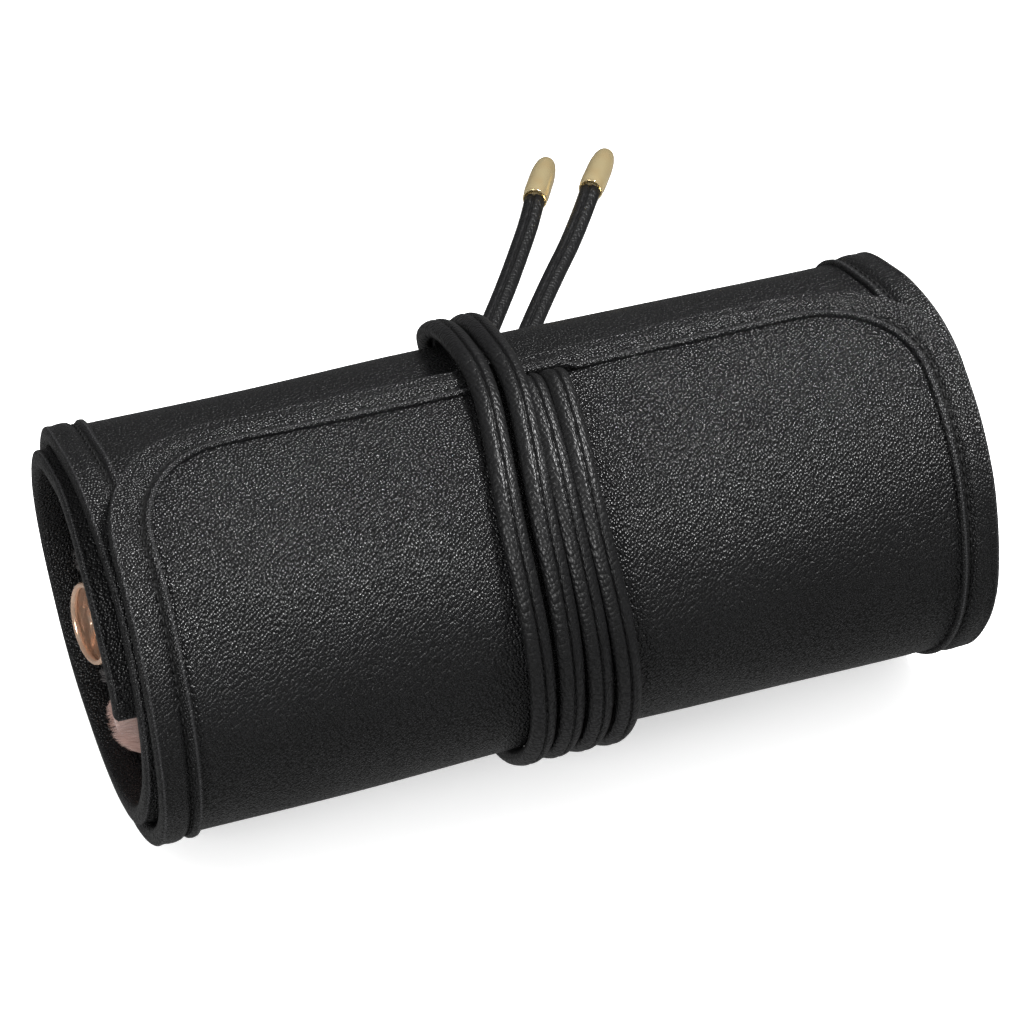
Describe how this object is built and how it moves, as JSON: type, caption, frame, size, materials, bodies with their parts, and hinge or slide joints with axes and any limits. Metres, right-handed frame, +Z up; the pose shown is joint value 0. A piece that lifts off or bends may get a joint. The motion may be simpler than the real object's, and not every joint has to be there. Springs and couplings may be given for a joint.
{
  "type": "brush roll case",
  "caption": "Leather-look roll case, tied shut by two long wrapped ties with metal ends; flap opens forward, brushes slide out of the pockets inside.",
  "frame": {"origin": "on the resting surface under the middle of the roll", "axes": "+X along the roll towards its right end, +Y to the back, +Z up; the flap faces -Y"},
  "size_m": [0.2215, 0.286, 0.109],
  "materials": {
    "shell_leather": "semi-matt pebbled black leather-look sheet",
    "lining_leather": "matt black lining",
    "edge_tape": "satin black folded edge tape",
    "tie_leather": "satin black folded and stitched tie",
    "polished_gold": "polished pale gold",
    "rose_gold": "polished rose gold",
    "brush_handle": "black lacquer",
    "powder_hair": "soft pinkish beige hair",
    "dark_hair": "black brush hair"
  },
  "bodies": {
    "root": {"outer_cover": "shell_leather", "outer_lining": "lining_leather", "outer_tape_left": "edge_tape", "outer_tape_right": "edge_tape", "inner_cover": "shell_leather", "inner_lining": "lining_leather", "inner_tape_left": "edge_tape", "inner_tape_right": "edge_tape", "inner_end_tape": "edge_tape", "pocket_panel": "lining_leather", "pocket_hem": "edge_tape", "tie_wrap_left": "tie_leather", "tie_wrap_right": "tie_leather"},
    "flap_1": {"flap_panel_1": "shell_leather", "flap_lining_1": "lining_leather", "flap_tape_1": "edge_tape"},
    "flap_2": {"flap_panel_2": "shell_leather", "flap_lining_2": "lining_leather", "flap_tape_2": "edge_tape"},
    "flap_3": {"flap_panel_3": "shell_leather", "flap_lining_3": "lining_leather", "flap_tape_3": "edge_tape"},
    "flap_4": {"flap_panel_4": "shell_leather", "flap_lining_4": "lining_leather", "flap_tape_4": "edge_tape"},
    "flap_5": {"flap_panel_5": "shell_leather", "flap_lining_5": "lining_leather", "flap_tape_5": "edge_tape"},
    "flap_6": {"flap_panel_6": "shell_leather", "flap_lining_6": "lining_leather", "flap_tape_6": "edge_tape", "tie_anchor": "tie_leather"},
    "tail_left": {"tie_tail_left": "tie_leather", "end_cap_left": "polished_gold"},
    "tail_right": {"tie_tail_right": "tie_leather", "end_cap_right": "polished_gold"},
    "powder_brush": {"powder_handle": "brush_handle", "powder_ferrule": "rose_gold", "powder_hair": "powder_hair"},
    "shader_brush": {"shader_handle": "brush_handle", "shader_ferrule": "rose_gold", "shader_hair": "dark_hair"},
    "liner_brush": {"liner_handle": "brush_handle", "liner_ferrule": "rose_gold", "liner_hair": "dark_hair"},
    "blush_brush": {"blush_handle": "brush_handle", "blush_ferrule": "rose_gold", "blush_hair": "dark_hair"},
    "crease_brush": {"crease_handle": "brush_handle", "crease_ferrule": "rose_gold", "crease_hair": "dark_hair"},
    "barrel_brush": {"barrel_handle": "brush_handle", "barrel_sleeve": "rose_gold", "barrel_core": "polished_gold"}
  },
  "joints": [
    {"name": "flap_open", "type": "hinge", "parent": "root", "child": "flap_1", "pos_m": [0, -0.00567, 0.00547], "axis": [1, 0, 0], "range_deg": [0, 18], "deforming": ["tie_wrap_left", "tie_wrap_right"]},
    {"name": "flap_fold_2", "type": "hinge", "parent": "flap_1", "child": "flap_2", "pos_m": [0, -0.0324, 0.01494], "axis": [1, 0, 0], "range_deg": [0, 30.65]},
    {"name": "flap_fold_3", "type": "hinge", "parent": "flap_2", "child": "flap_3", "pos_m": [0, -0.0501, 0.03548], "axis": [1, 0, 0], "range_deg": [0, 31.55]},
    {"name": "flap_fold_4", "type": "hinge", "parent": "flap_3", "child": "flap_4", "pos_m": [0, -0.05377, 0.06137], "axis": [1, 0, 0], "range_deg": [0, 33.35]},
    {"name": "flap_fold_5", "type": "hinge", "parent": "flap_4", "child": "flap_5", "pos_m": [0, -0.04238, 0.08532], "axis": [1, 0, 0], "range_deg": [0, 31.55]},
    {"name": "flap_fold_6", "type": "hinge", "parent": "flap_5", "child": "flap_6", "pos_m": [0, -0.01915, 0.10063], "axis": [1, 0, 0], "range_deg": [0, 28.85]},
    {"name": "tail_left_swing", "type": "hinge", "parent": "root", "child": "tail_left", "pos_m": [-0.0094, 0.026, 0.0023], "axis": [0, 0, 1], "range_deg": [0, 32]},
    {"name": "tail_right_swing", "type": "hinge", "parent": "root", "child": "tail_right", "pos_m": [-0.0016, 0.026, 0.0023], "axis": [0, 0, 1], "range_deg": [-30, 0]},
    {"name": "powder_brush_slide", "type": "slide", "parent": "root", "child": "powder_brush", "axis": [-1, 0, 0], "range_m": [0, 0.085]},
    {"name": "shader_brush_slide", "type": "slide", "parent": "root", "child": "shader_brush", "axis": [-1, 0, 0], "range_m": [0, 0.085]},
    {"name": "liner_brush_slide", "type": "slide", "parent": "root", "child": "liner_brush", "axis": [-1, 0, 0], "range_m": [0, 0.085]},
    {"name": "blush_brush_slide", "type": "slide", "parent": "root", "child": "blush_brush", "axis": [-1, 0, 0], "range_m": [0, 0.085]},
    {"name": "crease_brush_slide", "type": "slide", "parent": "root", "child": "crease_brush", "axis": [-1, 0, 0], "range_m": [0, 0.085]},
    {"name": "barrel_brush_slide", "type": "slide", "parent": "root", "child": "barrel_brush", "axis": [-1, 0, 0], "range_m": [0, 0.09]}
  ],
  "couplings": [
    {"joint": "flap_fold_2", "follows": "flap_open", "ratio": 1.7},
    {"joint": "flap_fold_3", "follows": "flap_open", "ratio": 1.75},
    {"joint": "flap_fold_4", "follows": "flap_open", "ratio": 1.85},
    {"joint": "flap_fold_5", "follows": "flap_open", "ratio": 1.75},
    {"joint": "flap_fold_6", "follows": "flap_open", "ratio": 1.6}
  ]
}
